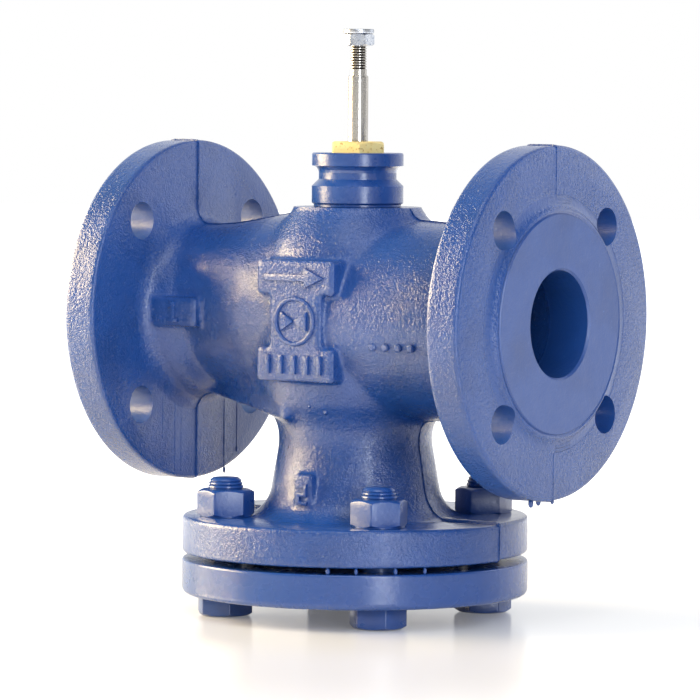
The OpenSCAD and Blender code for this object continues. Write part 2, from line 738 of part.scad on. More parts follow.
module stem_nut() {
    color("whitesmoke") rotate([0, 0, stem_nut_turn])
        nut(stem_nut_af, stem_thread_d + 2 * fit_gap, stem_nut_z, button_z);
}

module stem_button() {
    r = button_d / 2;
    color("whitesmoke") difference() {
        turned(disc(r, button_z, button_z + button_t, button_round, button_round));
        translate([0, 0, button_z - overrun])
            cylinder(h = button_t - tip_sink + overrun, d = tip_d + 2 * fit_gap);
    }
}

module flange_gasket() {
    outer = flange_gasket_d / 2;
    color("dimgray") turned(ring(outer - gasket_w, outer, blind_top_z, port_three_z, 0));
}

module blind_flange() {
    color(blue) difference() {
        turned(disc(flange_d / 2, bolt_head_h, blind_top_z, blind_low_round, blind_top_round));
        round_holes() translate([0, 0, bolt_head_h - overrun]) cylinder(h = blind_t + 2 * overrun, d = hole_d);
    }
}

// Bolts stand on their heads, threads up
module bottom_bolts() {
    r = bolt_d / 2 - thread_gap;
    root_r = r - thread_depth_share * bolt_pitch;
    end_z = bottom_top_z + bolt_nut_h + bolt_stick;
    turns = ceil((bolt_nut_h + bolt_stick) / bolt_pitch);
    thread_z = end_z - (r - root_r) - turns * bolt_pitch;
    color(blue) round_holes() {
        turned(concat([[0, bolt_head_h - overrun], [r, bolt_head_h - overrun]],
            thread(r, bolt_pitch, thread_z, turns), [[root_r, end_z], [0, end_z]]));
    }
    color(blue) for (i = [0:hole_count - 1])
        rotate([0, 0, first_hole_turn + i * 360 / hole_count]) translate([hole_circle_d / 2, 0, 0])
            rotate([0, 0, bolt_head_turns[i] - first_hole_turn - i * 360 / hole_count])
                hexagon(bolt_af, 0, bolt_head_h, true, false);
}

module bottom_nuts() {
    color(blue) for (i = [0:hole_count - 1])
        rotate([0, 0, first_hole_turn + i * 360 / hole_count]) translate([hole_circle_d / 2, 0, 0])
            rotate([0, 0, bolt_nut_turns[i] - first_hole_turn - i * 360 / hole_count])
                nut(bolt_af, bolt_d, bottom_top_z, bottom_top_z + bolt_nut_h);
}

body();
seat_ring();
bonnet();
bonnet_gasket();
guide_bush();
spring_washer();
packing_spring();
packing_follower();
packing_rings();
gland_nut();
gland_oring();
wiper_ring();
stem();
plug();
plug_seal();
plug_washer();
plug_nut();
stem_nut();
stem_button();
flange_gasket();
blind_flange();
bottom_bolts();
bottom_nuts();
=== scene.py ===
import math

import bpy
from mathutils import Matrix, Vector


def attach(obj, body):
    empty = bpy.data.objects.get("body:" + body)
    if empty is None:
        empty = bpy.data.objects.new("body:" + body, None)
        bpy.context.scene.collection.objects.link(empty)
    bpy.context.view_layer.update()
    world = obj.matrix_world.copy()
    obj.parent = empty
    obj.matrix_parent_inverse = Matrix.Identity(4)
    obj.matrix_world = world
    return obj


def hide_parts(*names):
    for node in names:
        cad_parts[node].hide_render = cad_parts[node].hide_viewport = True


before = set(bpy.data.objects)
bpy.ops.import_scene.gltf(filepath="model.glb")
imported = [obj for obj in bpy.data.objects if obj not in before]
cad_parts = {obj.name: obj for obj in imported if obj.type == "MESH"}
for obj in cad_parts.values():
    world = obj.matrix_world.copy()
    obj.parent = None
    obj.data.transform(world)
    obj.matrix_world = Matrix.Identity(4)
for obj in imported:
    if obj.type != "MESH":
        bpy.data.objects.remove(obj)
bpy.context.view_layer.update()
mm = 0.001
print("frame loaded")


# small helpers

def dropSelection():
    if bpy.context.object and bpy.context.object.mode != "OBJECT":
        bpy.ops.object.mode_set(mode="OBJECT")
    bpy.ops.object.select_all(action="DESELECT")


def pick(piece):
    dropSelection()
    piece.select_set(True)
    bpy.context.view_layer.objects.active = piece


def named(name):
    piece = bpy.context.object
    piece.name = name
    piece.data.name = name
    return piece


def settle(piece):
    pick(piece)
    bpy.ops.object.transform_apply(location=True, rotation=True, scale=True)


def outwardFaces(piece, merge=0.00001):
    pick(piece)
    bpy.ops.object.mode_set(mode="EDIT")
    bpy.ops.mesh.select_all(action="SELECT")
    bpy.ops.mesh.remove_doubles(threshold=merge)
    bpy.ops.mesh.normals_make_consistent(inside=False)
    bpy.ops.object.mode_set(mode="OBJECT")


# the outline is (radius, height) in mm, from the low end to the high end
def turnPiece(name, outline, steps=96, lie=None):
    dropSelection()
    radius, height = outline[0]
    bpy.ops.mesh.primitive_circle_add(vertices=steps, radius=radius * mm, fill_type="NGON",
                                      location=(0, 0, height * mm))
    piece = named(name)
    settle(piece)
    bpy.ops.object.mode_set(mode="EDIT")
    bpy.ops.mesh.select_all(action="SELECT")
    for nextRadius, nextHeight in outline[1:]:
        bpy.ops.mesh.extrude_region_move(
            TRANSFORM_OT_translate={"value": (0, 0, (nextHeight - height) * mm)})
        grow = nextRadius / radius
        bpy.ops.transform.resize(value=(grow, grow, 1), center_override=(0, 0, 0))
        radius, height = nextRadius, nextHeight
    bpy.ops.object.mode_set(mode="OBJECT")
    outwardFaces(piece)
    if lie:
        piece.matrix_world = lie @ piece.matrix_world
        settle(piece)
    return piece


# box between two corners in mm, its edges rounded by soft
def blockPiece(name, low, high, soft=0.0):
    dropSelection()
    middle = [(a + b) / 2 * mm for a, b in zip(low, high)]
    bpy.ops.mesh.primitive_cube_add(size=1, location=middle)
    piece = named(name)
    piece.scale = [(b - a) * mm for a, b in zip(low, high)]
    settle(piece)
    if soft:
        roundEdges(piece, soft)
    return piece


# drawn-out ball, its radius and place in mm
def ballPiece(name, radius, stretch, place, rings=12):
    dropSelection()
    bpy.ops.mesh.primitive_uv_sphere_add(segments=16, ring_count=rings, radius=radius * mm)
    ball = named(name)
    ball.scale = stretch
    ball.location = [a * mm for a in place]
    settle(ball)
    return ball


# outline in mm, extruded along x or y between low and high
def prismPiece(name, outline, low, high, along):
    dropSelection()
    bpy.ops.mesh.primitive_circle_add(vertices=len(outline), radius=1 * mm, fill_type="NGON")
    piece = named(name)
    for corner, (a, b) in zip(piece.data.vertices, outline):
        corner.co = (low * mm, a * mm, b * mm) if along == "X" else (a * mm, low * mm, b * mm)
    bpy.ops.object.mode_set(mode="EDIT")
    bpy.ops.mesh.select_all(action="SELECT")
    way = (high - low) * mm
    bpy.ops.mesh.extrude_region_move(
        TRANSFORM_OT_translate={"value": (way, 0, 0) if along == "X" else (0, way, 0)})
    bpy.ops.object.mode_set(mode="OBJECT")
    outwardFaces(piece)
    return piece


def roundEdges(piece, width, segments=3, angle=30):
    pick(piece)
    bevel = piece.modifiers.new("rounding", "BEVEL")
    bevel.width = width * mm
    bevel.segments = segments
    bevel.limit_method = "ANGLE"
    bevel.angle_limit = math.radians(angle)
    bpy.ops.object.modifier_apply(modifier=bevel.name)


def joined(name, pieces):
    dropSelection()
    for piece in pieces:
        piece.select_set(True)
    bpy.context.view_layer.objects.active = pieces[0]
    bpy.ops.object.join()
    return named(name)


leastKept = 0.6      # a union or a cut that keeps a smaller share of the faces has lost the piece


# the exact solver takes over where the quick one loses the piece
def combine(piece, other, how):
    before = piece.data.copy()
    least = 0 if how == "INTERSECT" else leastKept * len(before.polygons)
    for solver in ("MANIFOLD", "EXACT"):
        piece.data = before.copy()
        pick(piece)
        step = piece.modifiers.new("combine", "BOOLEAN")
        step.object = other
        step.operation = how
        step.solver = solver
        bpy.ops.object.modifier_apply(modifier=step.name)
        if len(piece.data.polygons) > least:
            break
        print("combined again", piece.name, other.name, solver, len(piece.data.polygons))
    bpy.data.objects.remove(other, do_unlink=True)
    return piece


# removes what lies on the normal's side of a plane and closes the cut; the point is in mm
def cutAway(piece, point, normal):
    pick(piece)
    bpy.ops.object.mode_set(mode="EDIT")
    bpy.ops.mesh.select_all(action="SELECT")
    bpy.ops.mesh.bisect(plane_co=[a * mm for a in point], plane_no=Vector(normal).normalized(),
                        use_fill=True, clear_outer=True)
    bpy.ops.object.mode_set(mode="OBJECT")
    outwardFaces(piece)


def voxelBlend(piece, size, smoothTimes):
    pick(piece)
    step = piece.modifiers.new("voxels", "REMESH")
    step.mode = "VOXEL"
    step.voxel_size = size * mm
    bpy.ops.object.modifier_apply(modifier=step.name)
    step = piece.modifiers.new("soften", "SMOOTH")
    step.factor = 0.5
    step.iterations = smoothTimes
    bpy.ops.object.modifier_apply(modifier=step.name)


# uneven cast skin: grain is the size of the bumps and height their height, in mm
def roughen(piece, grain, height, way="NORMAL"):
    pick(piece)
    clouds = bpy.data.textures.new("castGrain", "CLOUDS")
    clouds.noise_scale = grain * mm
    clouds.noise_depth = 2
    step = piece.modifiers.new("grain", "DISPLACE")
    step.texture = clouds
    step.texture_coords = "LOCAL"
    step.strength = height * mm
    step.mid_level = 0.5
    step.direction = way
    bpy.ops.object.modifier_apply(modifier=step.name)


def smoothByAngle(piece, angle):
    pick(piece)
    bpy.ops.object.shade_smooth_by_angle(angle=math.radians(angle))


def coat(piece, *names):
    piece.data.materials.clear()
    for name in names:
        piece.data.materials.append(finishes[name])


axisHeight = 142.0      # the line through both side ports
toAxis = Matrix.Translation((0, 0, axisHeight * mm))
toPortOne = toAxis @ Matrix.Rotation(math.radians(-90), 4, "Y")
toPortTwo = toAxis @ Matrix.Rotation(math.radians(90), 4, "Y")


# camera, at the place the photograph was taken from

cameraView = {
    "place": (1.24755, -1.78875, 0.2483),
    "yaw": 34.9736,
    "pitch": 3.2161,
    "roll": 0.4125,
    "lens": 235.716,
    "sensor": 36.0,
    "clip": (0.05, 20),
}


def addCamera():
    yaw, pitch, roll = (math.radians(cameraView[k]) for k in ("yaw", "pitch", "roll"))
    ahead = Vector((-math.sin(yaw) * math.cos(pitch), math.cos(yaw) * math.cos(pitch), -math.sin(pitch)))
    level = Vector((math.cos(yaw), math.sin(yaw), 0))
    above = level.cross(ahead)
    right = math.cos(roll) * level + math.sin(roll) * above
    up = -math.sin(roll) * level + math.cos(roll) * above
    dropSelection()
    bpy.ops.object.camera_add(location=cameraView["place"])
    camera = bpy.context.object
    camera.rotation_euler = Matrix((right, up, -ahead)).transposed().to_euler()
    camera.data.lens = cameraView["lens"]
    camera.data.sensor_width = cameraView["sensor"]
    camera.data.clip_start, camera.data.clip_end = cameraView["clip"]
    bpy.context.scene.camera = camera


addCamera()
print("camera placed")


# nodes that the materials share

def startMaterial(name):
    material = bpy.data.materials.new(name)
    material.use_nodes = True
    nodes = material.node_tree.nodes
    links = material.node_tree.links
    shader = nodes["Principled BSDF"]
    return material, nodes, links, shader


def noiseNode(nodes, links, coordinates, scale, detail=2, roughness=0.5, stretch=None):
    noise = nodes.new("ShaderNodeTexNoise")
    noise.inputs["Scale"].default_value = scale
    noise.inputs["Detail"].default_value = detail
    noise.inputs["Roughness"].default_value = roughness
    source = coordinates.outputs["Object"]
    if stretch:
        mapping = nodes.new("ShaderNodeMapping")
        mapping.inputs["Scale"].default_value = stretch
        links.new(source, mapping.inputs["Vector"])
        source = mapping.outputs["Vector"]
    links.new(source, noise.inputs["Vector"])
    return noise


def rampNode(nodes, links, source, stops):
    ramp = nodes.new("ShaderNodeValToRGB")
    elements = ramp.color_ramp.elements
    while len(elements) < len(stops):
        elements.new(0.5)
    for element, (place, colour) in zip(elements, stops):
        element.position = place
        element.color = (*colour, 1)
    links.new(source, ramp.inputs["Fac"])
    return ramp.outputs["Color"]


def grey(value):
    return (value, value, value)


# the mask runs from 0 at the first level of the source to 1 at the second
def maskNode(nodes, links, source, levels, values=(0, 1)):
    return rampNode(nodes, links, source, [(place, grey(value)) for place, value in zip(levels, values)])


def mixColour(nodes, links, factor, source, colour):
    mix = nodes.new("ShaderNodeMix")
    mix.data_type = "RGBA"
    links.new(factor, mix.inputs["Factor"])
    links.new(source, mix.inputs[6])
    mix.inputs[7].default_value = (*colour, 1)
    return mix.outputs[2]


def mathNode(nodes, links, operation, *values):
    step = nodes.new("ShaderNodeMath")
    step.operation = operation
    for i, value in enumerate(values):
        if isinstance(value, (int, float)):
            step.inputs[i].default_value = value
        else:
            links.new(value, step.inputs[i])
    return step.outputs[0]


def rangeNode(nodes, links, source, fromLow, fromHigh, toLow, toHigh, kind="LINEAR"):
    span = nodes.new("ShaderNodeMapRange")
    span.interpolation_type = kind
    span.inputs["From Min"].default_value = fromLow
    span.inputs["From Max"].default_value = fromHigh
    span.inputs["To Min"].default_value = toLow
    span.inputs["To Max"].default_value = toHigh
    links.new(source, span.inputs["Value"])
    return span.outputs["Result"]


def bumpNode(nodes, links, height, distance, under=None):
    bump = nodes.new("ShaderNodeBump")
    bump.inputs["Strength"].default_value = 1.0
    bump.inputs["Distance"].default_value = distance
    links.new(height, bump.inputs["Height"])
    if under:
        links.new(under.outputs["Normal"], bump.inputs["Normal"])
    return bump


def splitPlace(nodes, links, coordinates):
    parts = nodes.new("ShaderNodeSeparateXYZ")
    links.new(coordinates.outputs["Object"], parts.inputs[0])
    return parts.outputs


# scratches of a grinder on the side flanges: arcs round a centre (y, z from the axis), kept
# within a range of y and of radius, each given as its middle and half its width, all in mm

grinderForms = {
    "pitch": 1.8,
    "deep": 0.22,
    "bend": 1.4,           # how far the arcs wander
    "ragged": 12,          # how uneven their ends are
    "wander": 260,
    "marks": (
        {"side": -1.0, "centre": (-24, 128), "y": (-20.5, 10.5), "radius": (71, 10)},
        {"side": 1.0, "centre": (0, 0), "y": (7.0, 6.0), "radius": (67, 11)},
    ),
}


def grinderArcs(nodes, links, coordinates, under, arcs):
    def step(operation, *values):
        return mathNode(nodes, links, operation, *values)

    g = grinderForms
    place = splitPlace(nodes, links, coordinates)
    up = step("SUBTRACT", place["Z"], (axisHeight + arcs["centre"][1]) * mm)
    aside = step("SUBTRACT", place["Y"], arcs["centre"][0] * mm)
    radius = step("SQRT", step("ADD", step("MULTIPLY", up, up), step("MULTIPLY", aside, aside)))
    wander = noiseNode(nodes, links, coordinates, g["wander"]).outputs["Fac"]
    bent = step("MULTIPLY_ADD", wander, g["bend"] * mm, radius)
    wave = step("SINE", step("MULTIPLY", bent, 2 * math.pi / (g["pitch"] * mm)))
    ragged = step("MULTIPLY_ADD", wander, g["ragged"] * mm, place["Y"])
    along = step("COMPARE", ragged, (arcs["y"][0] + g["ragged"] / 2) * mm, arcs["y"][1] * mm)
    across = step("COMPARE", radius, arcs["radius"][0] * mm, arcs["radius"][1] * mm)
    side = step("GREATER_THAN", step("MULTIPLY", place["X"], arcs["side"]), 0.0)
    mask = step("MULTIPLY", step("MULTIPLY", along, across), side)
    return bumpNode(nodes, links, step("MULTIPLY", wave, mask), g["deep"] * mm, under)


# satin blue enamel

enamel = {
    "deep": (0.009, 0.053, 0.234),
    "plain": (0.012, 0.067, 0.290),
    # lighter blue of the scattered specks: painted glints
    "speckGlint": (0.035, 0.107, 0.365),
    "clouds": 34,
    "cloudLevels": (0.3, 0.55, 0.8),
    "specks": 700,
    "speckLevels": (0.68, 0.76),
    "patches": 120,
    "patchLevels": (0.3, 0.7),
    "lumps": 480,
    "grain": 1000,
    "grainTwist": 0.6,
    "brush": 260,
    "brushStretch": (0.12, 0.12, 9.0),
    "brushDeep": 0.02,
    "index": 1.5,
    "specular": 0.8,
    "coat": 0.25,
    "coatRough": 0.2,
}


# grain and lumps are the depth of the fine and the coarse unevenness, in mm
def paintMaterial(name, grain, lumps, rough, brushed=False, marked=False):
    e = enamel
    material, nodes, links, shader = startMaterial(name)
    coordinates = nodes.new("ShaderNodeTexCoord")

    def noise(scale, **shape):
        return noiseNode(nodes, links, coordinates, scale, **shape)

    clouds = noise(e["clouds"], detail=4).outputs["Fac"]
    tones = (e["deep"], e["plain"], e["plain"])
    colours = rampNode(nodes, links, clouds, list(zip(e["cloudLevels"], tones)))
    # lighter blue specks scattered over the paint are painted glints
    specks = maskNode(nodes, links, noise(e["specks"], roughness=0.6).outputs["Fac"], e["speckLevels"])
    links.new(mixColour(nodes, links, specks, colours, e["speckGlint"]), shader.inputs["Base Color"])
    sheen = maskNode(nodes, links, noise(e["patches"], detail=4).outputs["Fac"], e["patchLevels"], rough)
    links.new(sheen, shader.inputs["Roughness"])

    layer = bumpNode(nodes, links, noise(e["lumps"]).outputs["Fac"], lumps * mm)
    fine = noise(e["grain"])
    fine.inputs["Distortion"].default_value = e["grainTwist"]
    layer = bumpNode(nodes, links, fine.outputs["Fac"], grain * mm, layer)
    if brushed:
        rings = noise(e["brush"], detail=3, roughness=0.6, stretch=e["brushStretch"])
        layer = bumpNode(nodes, links, rings.outputs["Fac"], e["brushDeep"] * mm, layer)
    if marked:
        for arcs in grinderForms["marks"]:
            layer = grinderArcs(nodes, links, coordinates, layer, arcs)
    links.new(layer.outputs["Normal"], shader.inputs["Normal"])
    shader.inputs["IOR"].default_value = e["index"]
    shader.inputs["Specular IOR Level"].default_value = e["specular"]
    shader.inputs["Coat Weight"].default_value = e["coat"]
    shader.inputs["Coat Roughness"].default_value = e["coatRough"]
    return material


# bare and plated metals

metalForms = {
    "clouds": 160,
    "cloudLevels": (0.34, 0.62),
    "sheenLevels": (0.3, 0.7),
    "edge": 0.45,                       # darkens the edge of a round bar
    "spots": 700,
    "spotLevels": (0.60, 0.68),
    "rings": 500,
    "ringStretch": (0.05, 0.05, 8.0),
    # colour that the roots of a thread are drawn in, darker than the metal
    "rootDark": (0.05, 0.035, 0.02),
}


# darker colour in the roots of a thread: low and high end, root and crest radius in mm
def darkerRoots(nodes, links, coordinates, source, grooves):
    low, high, root, crest = grooves
    place = splitPlace(nodes, links, coordinates)
    squares = [mathNode(nodes, links, "MULTIPLY", place[axis], place[axis]) for axis in "XY"]
    radius = mathNode(nodes, links, "SQRT", mathNode(nodes, links, "ADD", *squares))
    deep = rangeNode(nodes, links, radius, root * mm, crest * mm, 1.0, 0.0)
    middle, half = (low + high) / 2, (high - low) / 2
    inside = mathNode(nodes, links, "COMPARE", place["Z"], middle * mm, half * mm)
    factor = mathNode(nodes, links, "MULTIPLY", deep, inside)
    return mixColour(nodes, links, factor, source, metalForms["rootDark"])


# rings is the depth of the turning marks in mm
def metalMaterial(name, light, dark, rough, rings, streaks=(1, 1, 1), spots=None, metal=0.65,
                  grooves=None):
    m = metalForms
    material, nodes, links, shader = startMaterial(name)
    coordinates = nodes.new("ShaderNodeTexCoord")
    clouds = noiseNode(nodes, links, coordinates, m["clouds"], 4, 0.6, streaks).outputs["Fac"]
    source = rampNode(nodes, links, clouds, list(zip(m["cloudLevels"], (dark, light))))
    if spots:
        dots = noiseNode(nodes, links, coordinates, m["spots"])
        mask = maskNode(nodes, links, dots.outputs["Fac"], m["spotLevels"])
        source = mixColour(nodes, links, mask, source, spots)
    if grooves:
        source = darkerRoots(nodes, links, coordinates, source, grooves)
    links.new(source, shader.inputs["Base Color"])
    sheen = maskNode(nodes, links, clouds, m["sheenLevels"], (rough[1], rough[0]))
    links.new(sheen, shader.inputs["Roughness"])
    shader.inputs["Metallic"].default_value = metal
    shader.inputs["Specular Tint"].default_value = (*grey(m["edge"]), 1)
    lines = noiseNode(nodes, links, coordinates, m["rings"], stretch=m["ringStretch"])
    layer = bumpNode(nodes, links, lines.outputs["Fac"], rings * mm)
    links.new(layer.outputs["Normal"], shader.inputs["Normal"])
    return material


plainLevels = (0.3, 0.7)


# rubber, graphite or plastic with a fine mottled skin
def plainMaterial(name, light, dark, rough, grain, deep):
    material, nodes, links, shader = startMaterial(name)
    coordinates = nodes.new("ShaderNodeTexCoord")
    clouds = noiseNode(nodes, links, coordinates, grain, 4, 0.6).outputs["Fac"]
    colours = rampNode(nodes, links, clouds, list(zip(plainLevels, (dark, light))))
    links.new(colours, shader.inputs["Base Color"])
    links.new(maskNode(nodes, links, clouds, plainLevels, rough), shader.inputs["Roughness"])
    layer = bumpNode(nodes, links, clouds, deep * mm)
    links.new(layer.outputs["Normal"], shader.inputs["Normal"])
    return material


finishes = {
    "castPaint": paintMaterial("castPaint", 0.42, 0.34, (0.21, 0.29)),
    "markedPaint": paintMaterial("markedPaint", 0.34, 0.26, (0.28, 0.36), marked=True),
    "ledgePaint": paintMaterial("ledgePaint", 0.08, 0.12, (0.16, 0.26)),
    "facePaint": paintMaterial("facePaint", 0.10, 0.14, (0.34, 0.44)),
    "smoothPaint": paintMaterial("smoothPaint", 0.03, 0.10, (0.24, 0.32), brushed=True),
    "boltPaint": paintMaterial("boltPaint", 0.05, 0.12, (0.26, 0.38)),
    "brass": metalMaterial("brass", (1.0, 0.84, 0.40), (0.96, 0.74, 0.30), (0.36, 0.48), 0.02,
                           spots=(0.50, 0.30, 0.08), metal=0.35),
    "bronze": metalMaterial("bronze", (0.72, 0.47, 0.24), (0.52, 0.32, 0.15), (0.25, 0.40), 0.03),
    "brightSteel": metalMaterial("brightSteel", (0.95, 0.92, 0.87), (0.70, 0.66, 0.60), (0.14, 0.24), 0.008,
                                 streaks=(3, 3, 0.15), metal=0.9, grooves=(258.9, 270.5, 3.3, 3.9)),
    "springSteel": metalMaterial("springSteel", (0.62, 0.62, 0.63), (0.45, 0.45, 0.46), (0.22, 0.35), 0.01),
    "zincSteel": metalMaterial("zincSteel", (0.80, 0.83, 0.88), (0.52, 0.56, 0.64), (0.20, 0.36), 0.01,
                               spots=(0.36, 0.40, 0.50), metal=0.85),
    "graphite": plainMaterial("graphite", (0.020, 0.020, 0.022), (0.010, 0.010, 0.012), (0.70, 0.85),
                              900, 0.03),
    "blackRubber": plainMaterial("blackRubber", (0.030, 0.030, 0.032), (0.018, 0.018, 0.02), (0.42, 0.57),
                                 1200, 0.02),
    "whitePlastic": plainMaterial("whitePlastic", (0.86, 0.86, 0.84), (0.78, 0.78, 0.75), (0.38, 0.53),
                                  800, 0.01),
}

nodeFinish = {
    "seat_ring": "bronze",
    "bonnet": "smoothPaint",
    "bonnet_gasket": "smoothPaint",
    "guide_bush": "bronze",
    "spring_washer": "springSteel",
    "packing_spring": "springSteel",
    "packing_follower": "springSteel",
    "packing_rings": "whitePlastic",
    "gland_nut": "brass",
    "gland_oring": "blackRubber",
    "wiper_ring": "blackRubber",
    "stem": "brightSteel",
    "plug": "bronze",
    "plug_seal": "whitePlastic",
    "plug_washer": "springSteel",
    "plug_nut": "zincSteel",
    "stem_nut": "zincSteel",
    "stem_button": "zincSteel",
    "flange_gasket": "graphite",
    "blind_flange": "smoothPaint",
    "bottom_bolts": "boltPaint",
    "bottom_nuts": "boltPaint",
}

for nodeName, finish in nodeFinish.items():
    coat(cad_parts[nodeName], finish)
print("materials set")


# the cast body: rough forms blended together, then crisp faces cut

castForms = {
    "steps": 160,
    "voxel": 1.5,
    "blendTimes": 6,
    "swell": (16, 0.5),            # size and height of the broad unevenness
    "fineVoxel": 1.22,
    "fineTimes": 2,
    "skin": (5, 0.22),             # size and height of the fine unevenness
    "shift": (0, 0, 0.3),          # how far the mould's back half sat off its front half
    "trunk": [(60, 34), (60, 45.2), (53.5, 46.3), (49.0, 47.6), (46.0, 49.6), (43.6, 52.4), (41.4, 56.0),
              (40.4, 59.5), (39.7, 63), (38.8, 68.4), (37.7, 74.6), (36.8, 80), (36.5, 84), (36.9, 88.5),
              (38.4, 92.5), (40.6, 96.5), (43.7, 101.0), (46.4, 108.0), (48.1, 118.0), (48.6, 130),
              (48.6, 142), (48.5, 150), (47.6, 159.9), (45.9, 168.0), (43.3, 175.0), (40.2, 180.6),
              (37.0, 185.0), (33.8, 188.9), (31.3, 191.8), (29.9, 193.6), (29.9, 198.0)],
    "legTwo": [(48.4, 0), (47.5, 30), (46.1, 55), (44.6, 78), (45.8, 87.0), (47.4, 91.0), (50.0, 93.8),
               (54.5, 95.0), (62, 96.2), (62, 106)],
    "legTwoDrop": 1.2,             # the right neck droops a little
    "rootOne": [(30, 70), (37.0, 79), (39.6, 84), (40.6, 87.5), (41.8, 90.6), (44.2, 93.4), (48.0, 94.9),
                (56, 96.2), (56, 106)],
    "legOne": [(46.6, 0), (45.0, 20), (42.6, 40), (39.6, 56), (37.2, 70), (36.4, 82), (36.6, 92),
               (36.6, 97)],
    "legOneRise": 5.2,             # and the left one rises from its flange
    "legUnder": [(43, 0), (42, 20), (39.8, 40), (37.0, 56), (35.0, 70), (34.4, 82), (34.8, 92),
                 (34.8, 97)],
    "smooth": 38,
}

# web under the neck of port one: a wedge that widens from the flange to the globe
keelForms = {
    "tip": -93.0,
    "breast": -43.0,
    "half": 26.5,
    "low": 80.0,
    "high": 140.0,
    "wide": 60.0,
    "outer": -97.0,
    "inner": -10.0,
    "foot": (-93.0, 102.9, -45.0, 97.2),       # x and z at both ends of its lower edge
    "soft": 2.2,
    "softAngle": 50,
}


def keelPiece():
    k = keelForms
    keel = blockPiece("keel", (k["outer"], -k["wide"], k["low"]), (k["inner"], k["wide"], k["high"]))
    for side in (-1, 1):
        cutAway(keel, (k["tip"], 0, 0), (-k["half"], side * (k["breast"] - k["tip"]), 0))
    x0, z0, x1, z1 = k["foot"]
    cutAway(keel, (x0, 0, z0), (z1 - z0, 0, x0 - x1))
    roundEdges(keel, k["soft"], angle=k["softAngle"])
    return keel


def castBlend():
    c = castForms
    drop = Matrix.Translation((0, 0, -c["legTwoDrop"] * mm))
    lift = Matrix.Translation((0, 0, c["legOneRise"] * mm))
    lies = {"trunk": None, "legTwo": drop @ toPortTwo, "rootOne": toPortOne, "legOne": lift @ toPortOne,
            "legUnder": toPortOne}
    forms = [turnPiece(name, c[name], c["steps"], lie) for name, lie in lies.items()]
    blend = joined("castBlend", forms + [keelPiece()])
    voxelBlend(blend, c["voxel"], c["blendTimes"])
    return blend


# raised pads on the front; each box is left, right, low and high, and reach is how far out it stands

padForms = {
    "reach": 51.0,
    "depth": 20.0,
    "soft": 1.1,
    "top": (-22.0, 22.0, 153.7, 169.7),
    "waist": (-14.7, 14.7, 113.0, 169.7),
    "low": (-22.0, 22.0, 113.0, 128.9),
    "smallSoft": 1.0,
    "portPad": (-90.0, -64.6, 136.0, 150.0),
    "portReach": 42.6,
    "portDepth": 12,
    "lowPad": (-5.2, 5.2, 45.0, 69.0),
    "lowReach": 43.6,
    "lowDepth": 8,
}


def frontBlock(name, box, reach, depth, soft=0.0):
    left, right, low, high = box
    return blockPiece(name, (left, -reach, low), (right, depth - reach, high), soft)


def frontPads():
    p = padForms
    pads = frontBlock("padTop", p["top"], p["reach"], p["depth"])
    combine(pads, frontBlock("padWaist", p["waist"], p["reach"], p["depth"]), "UNION")
    combine(pads, frontBlock("padLow", p["low"], p["reach"], p["depth"]), "UNION")
    roundEdges(pads, p["soft"])
    portPad = frontBlock("portPad", p["portPad"], p["portReach"], p["portDepth"], p["smallSoft"])
    lowPad = frontBlock("lowPad", p["lowPad"], p["lowReach"], p["lowDepth"], p["smallSoft"])
    return joined("pads", [pads, portPad, lowPad])


# marks that stand on the pads: arrow, ringed valve sign, bars, numerals, dots and casting pimples

markForms = {
    "proud": 1.3,
    "sunk": 1.5,
    "edge": 0.35,
    "arrow": [(-17, -1.5), (6, -1.5), (6, -4.8), (17, 0), (6, 4.8), (6, 1.5), (-17, 1.5)],
    "signLeft": [(-7.4, -4.6), (-0.6, -0.5), (-0.6, 0.5), (-7.4, 4.6)],
    "signRight": [(7.4, 4.6), (0.6, 0.5), (0.6, -0.5), (7.4, -4.6)],
    "ringRadius": 10.6,
    "ringThick": 1.15,
    "ringSteps": (64, 12),
    "barPlaces": (-14.8, -7.4, 0, 7.4, 14.8),
    "bar": [(-1.2, -4.4), (1.2, -4.4), (1.2, 4.4), (-1.2, 4.4)],
    "one": [(-3, -5), (3, -5), (3, -3.1), (1, -3.1), (1, 5), (-0.9, 5), (-3, 3.4), (-3, 1.5), (-0.9, 2.6),
            (-0.9, -3.1), (-3, -3.1)],
    "two": [(-3, 3.2), (1.1, 3.2), (1.1, 0.9), (-3, 0.9), (-3, -5), (3, -5), (3, -3.2), (-1.1, -3.2),
            (-1.1, -0.9), (3, -0.9), (3, 5), (-3, 5)],
    "twoHeight": 59.5,
    "dots": [(41.0, 130.5), (48.0, 130.5), (55.0, 130.5), (62.0, 130.5)],
    "dot": [(1.9, 40), (1.9, 46.2), (1.2, 46.9)],
    "dotSteps": 20,
    "nubPlace": (-29, 160),
    "nub": [(1.5, 33), (1.5, 40.4), (0.8, 41.2)],
    "nubSteps": 16,
    "pimples": [(3.5, 101.5, [(1.3, 34), (1.3, 43.2), (0.7, 44.0)]),
                (11.0, 98.7, [(1.3, 34), (1.3, 40.6), (0.7, 41.4)])],
    "pimpleSteps": 12,
}


